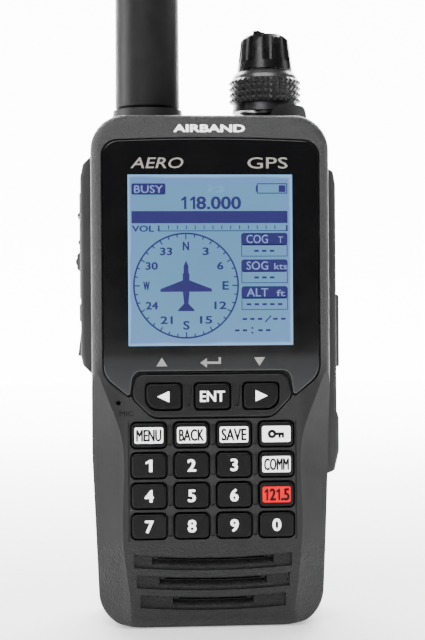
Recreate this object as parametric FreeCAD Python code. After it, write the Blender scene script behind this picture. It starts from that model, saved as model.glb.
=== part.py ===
"""Handheld aviation radio: a two-shell case with a display, keypad, speaker, battery, knobs and aerial.

Frame: +Z is up, the front face looks along -Y and +X is to the right seen from the front.
The origin is the middle of the flat base. All sizes are in millimetres.
"""
import math
import os

import FreeCAD
import Part

V = FreeCAD.Vector

# ---- driving dimensions ----
HALF_WIDTH = 30.6
CASE_TOP = 131.0
FRONT_Y = -17.5
BACK_Y = 17.5
SPLIT_Y = -4.0            # plane where the front case meets the rear chassis
WALL = 2.0
FRONT_WALL_BACK = FRONT_Y + 2.3
PANEL_HALF = 22.8         # half width of the raised centre panel below the display

WINDOW_HALF = 27.7
WINDOW_TOP = 124.2
WINDOW_ARCH = 1.1
WINDOW_DEPTH = 1.5
LCD_LEFT, LCD_RIGHT = -21.4, 21.2
LCD_BOTTOM, LCD_TOP = 71.6, 115.6

KEY_WIDTH, KEY_HEIGHT = 8.7, 6.2
KEY_PITCH_X, KEY_PITCH_Z = 10.85, 7.72
KEY_TOP_ROW_Z = 49.3
KEY_FACE_Y = FRONT_Y - 0.75
KEY_BACK_Y = FRONT_WALL_BACK + 0.6
KEY_GAP = 0.45
KEY_TRAVEL = 0.5

GRILLE_BOW = 225.0         # radius of the curved speaker slots
GRILLE_BANDS = [(20.2, 16.4, 15.6), (19.6, 11.3, 13.8), (18.6, 6.3, 10.4)]

NAV_Z = 59.1
NAV_PITCH = 12.4
NAV_HEIGHT = 6.4

BOARD_FRONT_Y = -12.4
BOARD_BACK_Y = -11.2

AERIAL_X, AERIAL_Y = -15.1, 6.0
AERIAL_RADIUS = 8.6
AERIAL_BASE = 135.0
AERIAL_LENGTH = 164.0
JACK_RADIUS = 3.1
THREAD_CLEARANCE = 0.07

KNOB_X, KNOB_Y = 16.9, 8.0
DIAL_RADIUS = 9.8
DIAL_BASE = 136.9
DIAL_ROWS = 4
DIAL_ROW_HEIGHT = 1.64
DIAL_TEETH = 36
VOLUME_BASE = 146.0
VOLUME_HEIGHT = 9.5
GUARD_TOP = 135.6

SIDE_Y0, SIDE_Y1 = -9.0, 7.0
PAD_INNER_X = -31.5        # inner face of the side buttons, clear of the case by their travel
LEFT_PLATE_X = -33.3
LEFT_PLATE_Z = (64.8, 121.0)
RIGHT_PLATE_X = 33.5
RIGHT_PLATE_Z = (37.6, 118.8)

BAY_HALF = 26.0
BAY_Z = (6.0, 96.0)
BAY_FLOOR_Y = 4.5
LATCH_PIVOT = (14.6, 2.9)  # Y, Z
LATCH_HALF = 9.0
LATCH_TOP = 16.0
LATCH_FACE_Y = 15.9        # inner face of the latch plate when it is shut
BATTERY_NOTCH_TOP = 11.0   # the latch only overlaps the battery above this height
SCREW_SPOTS = [(-23.4, 15.0), (23.4, 15.0), (-25.5, 93.0), (25.5, 93.0)]
BELT_CLIP_Z = 107.0
BELT_CLIP_SPACING = 30.0
HEADSET_Z = 104.0
POWER_Z = 74.5
SOCKET_Y = -0.3


# ---- shape helpers ----
def box(x0, x1, y0, y1, z0, z1):
    return Part.makeBox(x1 - x0, y1 - y0, z1 - z0, V(x0, y0, z0))


def rod(radius, start, end):
    """Cylinder between two points."""
    axis = V(*end) - V(*start)
    return Part.makeCylinder(radius, axis.Length, V(*start), axis)


def ring(outer, inner, start, end):
    return rod(outer, start, end).cut(rod(inner, start, end))


def rounded_face(corners, y=0.0):
    """Face in the plane Y = y from (x, z, radius) corners joined by tangent arcs."""
    count = len(corners)
    ends = []
    for i, (x, z, radius) in enumerate(corners):
        here = V(x, y, z)
        before = V(corners[i - 1][0], y, corners[i - 1][1]) - here
        after = V(corners[(i + 1) % count][0], y, corners[(i + 1) % count][1]) - here
        before.normalize()
        after.normalize()
        half = before.getAngle(after) / 2
        if radius <= 0:
            ends.append((here, None, here))
            continue
        reach = radius / math.tan(half)
        middle = before + after
        middle.normalize()
        centre = here + middle * (radius / math.sin(half))
        ends.append((here + before * reach, centre - middle * radius, here + after * reach))
    edges = []
    for i, (start, through, end) in enumerate(ends):
        if through is not None:
            edges.append(Part.Arc(start, through, end).toShape())
        following = ends[(i + 1) % count][0]
        if (following - end).Length > 1e-6:
            edges.append(Part.LineSegment(end, following).toShape())
    return Part.Face(Part.Wire(Part.__sortEdges__(edges)))


def plate(corners, y0, y1):
    return rounded_face(corners, y0).extrude(V(0, y1 - y0, 0))


def rectangle(x, z, width, height, radius):
    """Corners of a rounded rectangle centred at x, z."""
    w, h = width / 2, height / 2
    return [(x - w, z - h, radius), (x + w, z - h, radius), (x + w, z + h, radius), (x - w, z + h, radius)]


def fillet_at(shape, radius, keep):
    """Rounds the edges whose every vertex passes keep(vertex point)."""
    edges = [e for e in shape.Edges if all(keep(v.Point) for v in e.Vertexes)]
    return shape.makeFillet(radius, edges)


def join(first, *others):
    return first.multiFuse(list(others)).removeSplitter()


def save(name, *shapes):
    solids = [s for shape in shapes for s in shape.Solids]
    shape = solids[0] if len(solids) == 1 else Part.makeCompound(solids)
    if not shape.isValid():
        raise ValueError(name + " is not valid")
    shape.exportStep("parts/" + name + ".step")
    print(name, len(solids), round(sum(s.Volume for s in solids), 1))


# ---- outlines ----
def case_outline(inset=0.0, y=0.0):
    face = rounded_face([
        (-20.0, 0.0, 20.0), (20.0, 0.0, 20.0), (28.8, 2.2, 8.5), (HALF_WIDTH, 44.0, 60.0),
        (HALF_WIDTH, CASE_TOP, 9.0), (-HALF_WIDTH, CASE_TOP, 9.0), (-HALF_WIDTH, 44.0, 60.0),
        (-28.8, 2.2, 8.5),
    ], y)
    return face.makeOffset2D(-inset) if inset else face


def window_outline(grow=0.0):
    half, top = WINDOW_HALF + grow, WINDOW_TOP + grow
    return [
        (-20.9 + grow, 58.6 - grow, 0.8), (-20.0 + grow, 65.4 - grow, 2.2),
        (20.0 - grow, 65.4 - grow, 2.2), (20.9 - grow, 58.6 - grow, 0.8),
        (half, 64.4 - grow, 6.0), (half, top, 4.2), (0, top + WINDOW_ARCH, 480.0), (-half, top, 4.2),
        (-half, 64.4 - grow, 6.0),
    ]


def nav_outline(grow=0.0):
    return [
        (-15.4, 53.6 - grow, 4.5), (15.4, 53.6 - grow, 4.5), (20.6 + grow, 58.9, 3.0),
        (19.5 + grow, 64.8 + grow, 2.4), (-19.5 - grow, 64.8 + grow, 2.4), (-20.6 - grow, 58.9, 3.0),
    ]


def smile_face(half, z, height, y0):
    """A flat band whose edges bow downwards in the middle; z is the height at the middle."""
    sag = GRILLE_BOW - math.sqrt(GRILLE_BOW * GRILLE_BOW - half * half)

    def arc(z_end, start, end):
        through = V(0, y0, z_end - sag)
        return Part.Arc(V(start, y0, z_end), through, V(end, y0, z_end)).toShape()

    low, high = z - height / 2 + sag, z + height / 2 + sag
    edges = [
        arc(low, -half, half), Part.LineSegment(V(half, y0, low), V(half, y0, high)).toShape(),
        arc(high, half, -half), Part.LineSegment(V(-half, y0, high), V(-half, y0, low)).toShape(),
    ]
    return Part.Face(Part.Wire(edges))


def smile(half, z, height, y0, y1):
    return smile_face(half, z, height, y0).extrude(V(0, y1 - y0, 0))


def louvre(half, z):
    """A scoop whose floor rises from a deep upper edge to the face at its lower edge."""
    mouth = smile_face(half, z, 2.7, FRONT_Y + 0.6).OuterWire
    throat = smile_face(half - 0.4, z + 0.95, 0.7, FRONT_Y + 2.0).OuterWire
    return Part.makeLoft([mouth, throat], True, True)


def cheek(side, depth=0.0):
    """The wedge taken off each side of the lower front; depth moves it into the wall."""
    def section(x_inner, y_outer, z):
        x_inner, y_outer = x_inner - 1.75 * depth, y_outer + 1.1 * depth
        points = [V(side * x_inner, FRONT_Y - 0.5, z), V(side * 33, FRONT_Y - 0.5, z),
                  V(side * 33, y_outer, z)]
        inner = V(side * x_inner, FRONT_Y, z)
        return Part.makePolygon([inner, points[0], points[1], points[2], inner])

    return Part.makeLoft([
        section(PANEL_HALF - 1.8, -10.2, -1), section(PANEL_HALF - 0.5, -10.2, 16),
        section(PANEL_HALF, -10.3, 34),
        section(PANEL_HALF + 0.4, -10.8, 49), section(PANEL_HALF + 2.7, -12.1, 56),
        section(PANEL_HALF + 5.4, -14.2, 63),
        section(30.2, -16.4, 70),
    ], True, False)


def whole_case():
    """The outside of both shells together, rounded front and back."""
    block = case_outline(0, FRONT_Y).extrude(V(0, BACK_Y - FRONT_Y, 0))
    block = fillet_at(block, 2.4, lambda p: abs(p.y - FRONT_Y) < 1e-6)
    block = fillet_at(block, 3.0, lambda p: abs(p.y - BACK_Y) < 1e-6)
    return block.cut(cheek(1)).cut(cheek(-1))


# ---- keypad layout ----
KEY_NAMES = [
    ["key_menu", "key_back", "key_save", "key_lock"],
    ["key_1", "key_2", "key_3", "key_comm"],
    ["key_4", "key_5", "key_6", "key_emergency"],
    ["key_7", "key_8", "key_9", "key_0"],
]
NAV_NAMES = ["key_left", "key_enter", "key_right"]


def key_spots():
    for row, names in enumerate(KEY_NAMES):
        for column, name in enumerate(names):
            yield name, (column - 1.5) * KEY_PITCH_X, KEY_TOP_ROW_Z - row * KEY_PITCH_Z


def nav_corners(index, grow=0.0):
    """Outline of one navigation key: the outer keys have one wide lower corner."""
    x = (index - 1) * NAV_PITCH
    w, h = 4.4 + grow, NAV_HEIGHT / 2 + grow
    low_left = 3.2 if index == 0 else 1.2
    low_right = 3.2 if index == 2 else 1.2
    return [(x - w, NAV_Z - h, low_left), (x + w, NAV_Z - h, low_right), (x + w, NAV_Z + h, 1.2),
            (x - w, NAV_Z + h, 1.2)]


# ---- shells ----
def front_case():
    shell = whole_case().common(box(-40, 40, FRONT_Y - 1, SPLIT_Y, -1, 150))
    room = case_outline(WALL, FRONT_WALL_BACK).extrude(V(0, 20, 0))
    shell = shell.cut(room.cut([cheek(1, WALL), cheek(-1, WALL)]))
    cuts = [
        plate(window_outline(0.3), FRONT_Y - 1, FRONT_Y + WINDOW_DEPTH),
        box(LCD_LEFT - 0.8, LCD_RIGHT + 0.8, FRONT_Y, -15, LCD_BOTTOM - 0.8, LCD_TOP + 0.8),
        plate(nav_outline(0.25), FRONT_Y - 1, -14),
        rod(0.6, (-23.9, FRONT_Y - 1, 57.6), (-23.9, -14, 57.6)),
    ]
    for name, x, z in key_spots():
        cuts.append(plate(rectangle(x, z, KEY_WIDTH + 2 * KEY_GAP, KEY_HEIGHT + 2 * KEY_GAP, 1.5),
                          FRONT_Y - 1, -14))
        if x < KEY_PITCH_X:
            cuts.append(plate(rectangle(x + KEY_PITCH_X / 2, z, 1.1, 5.4, 0.3), FRONT_Y - 1, FRONT_Y + 0.7))
    for half, z, open_half in GRILLE_BANDS:
        cuts.append(smile(half, z, 3.4, FRONT_Y - 1, FRONT_Y + 0.8))
        cuts.append(louvre(open_half, z))
        cuts.append(smile(open_half - 1.6, z + 0.95, 0.45, FRONT_Y, -14))
    for hole_side in (-1, 1):
        groove_x = hole_side * 21.35
        cuts.append(box(groove_x - 0.2, groove_x + 0.2, FRONT_Y - 1, FRONT_Y + 0.5, 22.4, 52.6))
    shell = shell.cut(cuts)
    posts = []
    for x, z in SCREW_SPOTS:
        start = -14.2 if z < 50 else FRONT_WALL_BACK - 0.1
        posts.append(ring(2.3, 1.0, (x, start, z), (x, SPLIT_Y, z)))
    return join(shell, *posts)


def rear_chassis():
    shell = whole_case().common(box(-40, 40, SPLIT_Y, BACK_Y + 1, -1, 150))
    room = case_outline(WALL, SPLIT_Y - 1).extrude(V(0, 20.3, 0))
    tall = box(-40, 40, -10, BACK_Y, BAY_Z[1] + WALL, 140)
    shallow = box(-40, 40, -10, BAY_FLOOR_Y - WALL, -1, 140)
    shell = shell.cut([room.common(tall), room.common(shallow)])
    shell = shell.cut(plate(rectangle(0, sum(BAY_Z) / 2, 2 * BAY_HALF, BAY_Z[1] - BAY_Z[0], 3),
                            BAY_FLOOR_Y, 20))
    boss = Part.makeCone(9.9, 9.2, 5.7, V(AERIAL_X, AERIAL_Y, 129.0))
    guard = ring(12.0, 9.9, (KNOB_X, KNOB_Y, 127.0), (KNOB_X, KNOB_Y, GUARD_TOP))
    silhouette = [(KNOB_X - 1.2, 127, 0), (28.8, 127, 0), (28.0, CASE_TOP, 0), (26.9, GUARD_TOP, 1.6),
                  (KNOB_X + 2.0, GUARD_TOP, 1.8), (KNOB_X - 1.2, CASE_TOP, 0)]
    guard = guard.common(plate(silhouette, -10, KNOB_Y + 1.0)).cut(room)
    clips = [rod(3.2, (side * BELT_CLIP_SPACING / 2, 11.5, BELT_CLIP_Z),
                 (side * BELT_CLIP_SPACING / 2, 16, BELT_CLIP_Z))
             for side in (-1, 1)]
    shell = join(shell, boss, guard, *clips)
    cuts = [
        rod(5.5, (AERIAL_X, AERIAL_Y, 126.2), (AERIAL_X, AERIAL_Y, 141)),
        rod(3.65, (KNOB_X, KNOB_Y, 120), (KNOB_X, KNOB_Y, 140)),
        box(-LATCH_HALF - 0.4, LATCH_HALF + 0.4, LATCH_PIVOT[0] - 2.4, 20, -1, 7.0),
        box(28, 40, SOCKET_Y - 3.2, SOCKET_Y + 3.2, HEADSET_Z - 3.2, HEADSET_Z + 3.2),
        box(28, 40, SOCKET_Y - 3.2, SOCKET_Y + 3.2, POWER_Z - 3.2, POWER_Z + 3.2),
    ]
    for side in (-1, 1):
        x = side * BELT_CLIP_SPACING / 2
        cuts.append(rod(1.25, (x, 12.5, BELT_CLIP_Z), (x, 20, BELT_CLIP_Z)))
    for x, z in SCREW_SPOTS:
        cuts.append(rod(1.15, (x, SPLIT_Y, z), (x, 6, z)))
        cuts.append(rod(2.1, (x, BAY_FLOOR_Y - 1.3, z), (x, 6, z)))
    for x in (-5, 0, 5):
        cuts.append(rod(0.9, (x, -2, 88), (x, 6, 88)))
    for name, z, stem in SIDE_STEMS:
        cuts.append(rod(stem + 0.3, (-40, 0, z), (-25, 0, z)))
    return shell.cut(cuts)


def case_gasket():
    outer = case_outline(WALL + 0.05, SPLIT_Y - 0.6).extrude(V(0, 1.2, 0))
    inner = case_outline(WALL + 0.9, SPLIT_Y - 0.6).extrude(V(0, 1.2, 0))
    band = outer.cut(inner)
    return band.cut([rod(2.5, (x, -6, z), (x, 6, z)) for x, z in SCREW_SPOTS])


def case_screws():
    screws = []
    for x, z in SCREW_SPOTS:
        head = rod(1.9, (x, BAY_FLOOR_Y - 1.3, z), (x, BAY_FLOOR_Y - 0.1, z))
        slot = box(x - 1.2, x + 1.2, BAY_FLOOR_Y - 0.6, BAY_FLOOR_Y, z - 0.25, z + 0.25)
        cross = box(x - 0.25, x + 0.25, BAY_FLOOR_Y - 0.6, BAY_FLOOR_Y, z - 1.2, z + 1.2)
        screws.append(join(head, rod(0.95, (x, -11, z), (x, BAY_FLOOR_Y - 1.3, z))).cut([slot, cross]))
    return screws


# ---- display and keypad ----
def display_window():
    pane = plate(window_outline(), FRONT_Y + 0.15, FRONT_Y + WINDOW_DEPTH)
    return fillet_at(pane, 0.4, lambda p: abs(p.y - FRONT_Y - 0.15) < 1e-6)


def lcd_panel():
    return box(LCD_LEFT - 0.9, LCD_RIGHT + 0.9, -15.1, -13.7, LCD_BOTTOM - 1.6, LCD_TOP + 1.6)


def lcd_holder():
    frame = box(LCD_LEFT - 3, LCD_RIGHT + 3, -15.1, BOARD_FRONT_Y, LCD_BOTTOM - 3, LCD_TOP + 3)
    bed = box(LCD_LEFT - 1.0, LCD_RIGHT + 1.0, -16, -13.6, LCD_BOTTOM - 1.7, LCD_TOP + 1.7)
    return frame.cut([bed] + [rod(2.6, (x, -16, z), (x, -10, z)) for x, z in SCREW_SPOTS])


def nav_bezel():
    face = plate(nav_outline(-0.1), FRONT_Y - 0.35, -15.1)
    face = fillet_at(face, 0.5, lambda p: abs(p.y - FRONT_Y + 0.35) < 1e-6)
    face = join(face, plate(nav_outline(0.4), FRONT_WALL_BACK + 0.02, FRONT_WALL_BACK + 0.55))
    holes = [plate(nav_corners(i, KEY_GAP), FRONT_Y - 2, -13) for i in range(3)]
    grooves = []
    for side in (-1, 1):
        x = side * NAV_PITCH / 2
        grooves.append(plate([(x - 0.5, 56.6, 0.3), (x + 0.5, 56.6, 0.3), (x + 1.2, 62.2, 0.3),
                              (x - 1.2, 62.2, 0.3)],
                             FRONT_Y - 1, FRONT_Y + 0.35))
    return face.cut(holes + grooves)


def soft_cap(corners, flange):
    """A key: rounded cap with a thin flange behind the case wall that keeps it in."""
    cap = plate(corners, KEY_FACE_Y, KEY_BACK_Y)
    cap = fillet_at(cap, 0.45, lambda p: abs(p.y - KEY_FACE_Y) < 1e-6)
    return join(cap, plate(flange, FRONT_WALL_BACK + 0.05, KEY_BACK_Y))


def keypad_key(x, z):
    return soft_cap(rectangle(x, z, KEY_WIDTH, KEY_HEIGHT, 1.2),
                    rectangle(x, z, KEY_WIDTH + 1.3, KEY_HEIGHT + 1.0, 1.2))


def nav_key(index):
    cap = plate(nav_corners(index), KEY_FACE_Y - 0.2, KEY_BACK_Y + 0.3)
    cap = fillet_at(cap, 0.45, lambda p: abs(p.y - KEY_FACE_Y + 0.2) < 1e-6)
    return join(cap, plate(nav_corners(index, 0.8), FRONT_WALL_BACK + 0.6, KEY_BACK_Y + 0.3))


def keypad_mat():
    sheet = plate(rectangle(0, 43.0, 44, 41, 2), -13.4, -12.9)
    domes = [rod(1.8, (x, -13.95, z), (x, -13.2, z)) for name, x, z in key_spots()]
    domes += [rod(1.8, ((i - 1) * NAV_PITCH, -13.6, NAV_Z),
                  ((i - 1) * NAV_PITCH, -13.2, NAV_Z)) for i in range(3)]
    return join(sheet, *domes)


def main_board():
    """Circuit board, narrower between the cheeks."""
    board = plate([(-24.5, 24.5, 2), (24.5, 24.5, 2), (24.5, 62, 1), (27.5, 66, 1), (27.5, 118.5, 3),
                   (-27.5, 118.5, 3), (-27.5, 66, 1), (-24.5, 62, 1)], BOARD_FRONT_Y, BOARD_BACK_Y)
    return board.cut([rod(2.6, (x, -14, z), (x, -10, z)) for x, z in SCREW_SPOTS])


def rf_shield():
    can = box(-18, 14, BOARD_BACK_Y, -7.4, 58, 92)
    can = fillet_at(can, 0.6, lambda p: abs(p.y + 7.4) < 1e-6)
    return can.cut(box(-17.6, 13.6, BOARD_BACK_Y - 1, -7.8, 58.4, 91.6))


def position_aerial():
    return fillet_at(box(-9, 9, BOARD_BACK_Y, -7.2, 97, 115), 0.5, lambda p: abs(p.y + 7.2) < 1e-6)


def speaker():
    basket = plate(rectangle(0, 12.4, 37, 17.6, 6), -14.3, -10.2)
    basket = basket.cut(plate(rectangle(0, 12.4, 34.4, 15, 5), -15, -13.1))
    return join(basket, plate(rectangle(0, 12.4, 18, 13, 4), -10.2, -7.8))


def microphone():
    return rod(1.4, (-23.9, -14.2, 57.6), (-23.9, BOARD_FRONT_Y, 57.6))


# ---- aerial ----
def aerial_jack():
    flange = rod(7.5, (AERIAL_X, AERIAL_Y, 124.6), (AERIAL_X, AERIAL_Y, 128.95))
    barrel = rod(JACK_RADIUS, (AERIAL_X, AERIAL_Y, 120), (AERIAL_X, AERIAL_Y, 137.4))
    return join(flange, barrel).cut(rod(0.75, (AERIAL_X, AERIAL_Y, 130), (AERIAL_X, AERIAL_Y, 140)))


def aerial_plug():
    sleeve = rod(4.7, (AERIAL_X, AERIAL_Y, 130.4), (AERIAL_X, AERIAL_Y, 142.0))
    neck = rod(2.6, (AERIAL_X, AERIAL_Y, 142.0), (AERIAL_X, AERIAL_Y, 150.0))
    bore = rod(JACK_RADIUS + THREAD_CLEARANCE, (AERIAL_X, AERIAL_Y, 129), (AERIAL_X, AERIAL_Y, 137.8))
    return join(sleeve, neck).cut(bore)


def aerial_core():
    core = rod(2.6, (AERIAL_X, AERIAL_Y, 150.0), (AERIAL_X, AERIAL_Y, AERIAL_BASE + AERIAL_LENGTH - 8))
    return core


def aerial_sheath():
    """Rubber sheath, turned from a profile that is straight at the base and tapers to a dome."""
    top = AERIAL_BASE + AERIAL_LENGTH
    tip = 4.6
    at = lambda r, z: V(AERIAL_X + r, AERIAL_Y, z)
    edges = [
        Part.LineSegment(at(0, AERIAL_BASE), at(AERIAL_RADIUS - 0.5, AERIAL_BASE)).toShape(),
        Part.LineSegment(at(AERIAL_RADIUS - 0.5, AERIAL_BASE),
                         at(AERIAL_RADIUS, AERIAL_BASE + 0.5)).toShape(),
        Part.LineSegment(at(AERIAL_RADIUS, AERIAL_BASE + 0.5),
                         at(AERIAL_RADIUS - 0.2, AERIAL_BASE + 48)).toShape(),
        Part.LineSegment(at(AERIAL_RADIUS - 0.2, AERIAL_BASE + 48), at(tip, top - tip)).toShape(),
        Part.Arc(at(tip, top - tip), at(tip * math.sqrt(0.5), top - tip + tip * math.sqrt(0.5)),
                 at(0, top)).toShape(),
        Part.LineSegment(at(0, top), at(0, AERIAL_BASE)).toShape(),
    ]
    solid = Part.Face(Part.Wire(edges)).revolve(V(AERIAL_X, AERIAL_Y, 0), V(0, 0, 1), 360)
    solid = Part.makeSolid(solid.Shells[0]) if not solid.Solids else solid.Solids[0]
    hole = join(rod(4.7, (AERIAL_X, AERIAL_Y, 130), (AERIAL_X, AERIAL_Y, 142.0)),
                rod(2.6, (AERIAL_X, AERIAL_Y, 135), (AERIAL_X, AERIAL_Y, AERIAL_BASE + AERIAL_LENGTH - 8)))
    return solid.cut(hole)


# ---- rotary controls ----
def knob_point(z):
    return (KNOB_X, KNOB_Y, z)


def control_body():
    base = box(KNOB_X - 6.8, KNOB_X + 6.8, KNOB_Y - 6.8, KNOB_Y + 6.8, 119, 128.5)
    body = join(base, rod(3.6, knob_point(128), knob_point(134.4)))
    return body.cut(rod(3.05, knob_point(119), knob_point(140)))


def control_nut():
    hexagon = []
    for i in range(7):
        angle = math.radians(60 * i)
        hexagon.append(V(KNOB_X + 6.6 * math.cos(angle), KNOB_Y + 6.6 * math.sin(angle), CASE_TOP + 0.6))
    nut = Part.Face(Part.makePolygon(hexagon)).extrude(V(0, 0, 2.2))
    washer = rod(7.6, knob_point(CASE_TOP), knob_point(CASE_TOP + 0.6))
    return join(nut, washer).cut(rod(3.6, knob_point(125), knob_point(140)))


def dial_shaft():
    return ring(3.0, 1.6, knob_point(121), knob_point(143.4))


def volume_shaft():
    return rod(1.5, knob_point(120.5), knob_point(153))


def dial_knob():
    """Knurled ring: rows of V ridges turned from a profile, then cut by upright V grooves."""
    root = DIAL_RADIUS - 0.85
    at = lambda r, z: V(KNOB_X + r, KNOB_Y, z)
    points = [at(3.0, DIAL_BASE), at(root, DIAL_BASE)]
    for row in range(DIAL_ROWS):
        low = DIAL_BASE + row * DIAL_ROW_HEIGHT
        points += [at(DIAL_RADIUS, low + DIAL_ROW_HEIGHT / 2), at(root, low + DIAL_ROW_HEIGHT)]
    top = DIAL_BASE + DIAL_ROWS * DIAL_ROW_HEIGHT
    points += [at(root - 0.35, top + 0.9), at(root - 1.0, top + 1.7), at(7.1, top + 2.35),
               at(3.0, top + 2.35), points[0]]
    ringed = Part.Face(Part.makePolygon(points)).revolve(V(*knob_point(0)), V(0, 0, 1), 360)
    ringed = ringed.Solids[0]
    grooves = []
    half = math.pi * DIAL_RADIUS / DIAL_TEETH
    groove = Part.Face(Part.makePolygon([
        V(root - 0.05, 0, DIAL_BASE - 1), V(DIAL_RADIUS + 0.1, -half * 1.08, DIAL_BASE - 1),
        V(DIAL_RADIUS + 0.1, half * 1.08, DIAL_BASE - 1), V(root - 0.05, 0, DIAL_BASE - 1),
    ])).extrude(V(0, 0, top - DIAL_BASE + 1.15))
    for i in range(DIAL_TEETH):
        turned = groove.copy()
        turned.rotate(V(0, 0, 0), V(0, 0, 1), 360.0 * i / DIAL_TEETH)
        turned.translate(V(KNOB_X, KNOB_Y, 0))
        grooves.append(turned)
    return ringed.cut(grooves)


def dial_collar():
    cone = Part.makeCone(8.9, 8.5, 2.3, V(*knob_point(DIAL_BASE - 2.3)))
    return cone.cut([rod(6.9, knob_point(134), knob_point(135.4)),
                     rod(3.0, knob_point(134), knob_point(140))])


def volume_knob():
    """Tapered knob with upright flutes and a raised pointer."""
    top = VOLUME_BASE + VOLUME_HEIGHT
    knob = Part.makeCone(7.5, 6.3, VOLUME_HEIGHT, V(*knob_point(VOLUME_BASE)))
    rim = [e for e in knob.Edges if e.Closed and all(abs(v.Z - top) < 1e-6 for v in e.Vertexes)]
    knob = knob.makeChamfer(1.2, rim)
    flutes = []
    for i in range(8):
        angle = math.radians(45 * i - 88)
        reach = 8.75
        foot = V(KNOB_X + reach * math.cos(angle), KNOB_Y + reach * math.sin(angle), VOLUME_BASE + 2.4)
        lean = V(-0.11 * math.cos(angle), -0.11 * math.sin(angle), 1)
        flutes.append(Part.makeCylinder(2.5, 12, foot, lean))
    knob = knob.cut(flutes)
    pointer = Part.makePolygon([V(-0.75, -6.5, 0), V(0.75, -6.5, 0), V(1.5, 0.5, 0), V(-1.5, 0.5, 0),
                                V(-0.75, -6.5, 0)])
    rib = Part.Face(pointer).extrude(V(0, 0, VOLUME_HEIGHT - 2.9))
    ramp = Part.Face(Part.makePolygon([V(0, -7, 0), V(0, 1, 0), V(0, 1, -1.6), V(0, -7, -1.6 + 0.9),
                                       V(0, -7, 0)]))
    rib.translate(V(0, 0, 3.4))
    rib = rib.cut(ramp.extrude(V(4, 0, 0)))
    rib.rotate(V(0, 0, 0), V(0, 0, 1), -28)
    rib.translate(V(KNOB_X, KNOB_Y, VOLUME_BASE))
    return join(knob, rib).cut(rod(1.5, knob_point(140), knob_point(153)))


# ---- left side: push-to-talk and two small buttons ----
SIDE_STEMS = [("ptt", 88.0, 1.5), ("monitor", 80.5, 0.9), ("lamp", 73.0, 1.2)]
PTT_Z = (84.2, 112.0)
MONITOR_Z = (78.2, 83.0)
LAMP_Z = (69.0, 77.0)
BUTTON_Y = (-5.5, 5.0)


def side_pad(z0, z1, x_out):
    """A button pad on the left side, rounded where it faces outwards."""
    block = box(x_out, PAD_INNER_X, BUTTON_Y[0], BUTTON_Y[1], z0, z1)
    edges = [e for e in block.Edges if all(abs(v.X - x_out) < 1e-6 for v in e.Vertexes)]
    return block.makeFillet(0.5, edges)


def left_side_plate():
    z0, z1 = LEFT_PLATE_Z
    profile = [(-HALF_WIDTH, z0), (LEFT_PLATE_X + 0.5, z0 + 2.2), (LEFT_PLATE_X, z0 + 4.6),
               (LEFT_PLATE_X, z1 - 5.4),
               (LEFT_PLATE_X + 0.7, z1 - 2.0), (-HALF_WIDTH, z1)]
    wire = Part.makePolygon([V(x, SIDE_Y0, z) for x, z in profile + profile[:1]])
    slab = Part.Face(wire).extrude(V(0, SIDE_Y1 - SIDE_Y0, 0))
    slab = fillet_at(slab, 1.0, lambda p: p.x < -31.5 and abs(p.y - SIDE_Y0) < 1e-6)
    slab = fillet_at(slab, 1.0, lambda p: p.x < -31.5 and abs(p.y - SIDE_Y1) < 1e-6)
    gap = 0.3
    slots = [box(-40, 0.1 - HALF_WIDTH, BUTTON_Y[0] - gap, BUTTON_Y[1] + gap, z_low - gap, z_high + gap)
             for z_low, z_high in (PTT_Z, MONITOR_Z, LAMP_Z)]
    return slab.cut(slots)


def button_stem(index):
    name, z, radius = SIDE_STEMS[index]
    return rod(radius, (PAD_INNER_X - 0.2, 0, z), (-29.3, 0, z))


def ptt_button():
    pad = side_pad(PTT_Z[0], PTT_Z[1], LEFT_PLATE_X - 0.25)
    ridges = []
    for z, rise in ((92.6, 0.8), (94.0, 1.15), (95.5, 0.8), (99.2, 0.45), (106.2, 0.6)):
        ridges.append(rod(rise, (LEFT_PLATE_X - 0.15, BUTTON_Y[0] + 1, z),
                          (LEFT_PLATE_X - 0.15, BUTTON_Y[1] - 1, z)))
    return join(pad, button_stem(0), *ridges)


def monitor_button():
    return join(side_pad(MONITOR_Z[0], MONITOR_Z[1], LEFT_PLATE_X - 0.35), button_stem(1))


def lamp_button():
    z0, z1 = LAMP_Z
    wedge = Part.makePolygon([V(x, BUTTON_Y[0], z) for x, z in (
        (PAD_INNER_X, z0), (LEFT_PLATE_X - 0.8, z0 + 0.4), (LEFT_PLATE_X + 0.1, z1 - 0.4), (PAD_INNER_X, z1),
        (PAD_INNER_X, z0))])
    return join(Part.Face(wedge).extrude(V(0, BUTTON_Y[1] - BUTTON_Y[0], 0)), button_stem(2))


def side_switch_board():
    board = box(-27.3, -26.6, -3.5, 2.2, 68, 94)
    switches = [box(-28.5, -27.3, -1.8, 1.8, z - 1.8, z + 1.8) for name, z, stem in SIDE_STEMS]
    return join(board, *switches)


# ---- right side: sockets and their covers ----
HEADSET_COVER_Z = (88.5, 115.5)
POWER_COVER_Z = (66.0, 85.0)
COVER_Y = (-6.5, 4.2)
COVER_HINGE = (RIGHT_PLATE_X - 1.1, 5.0)  # X, Y


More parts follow.
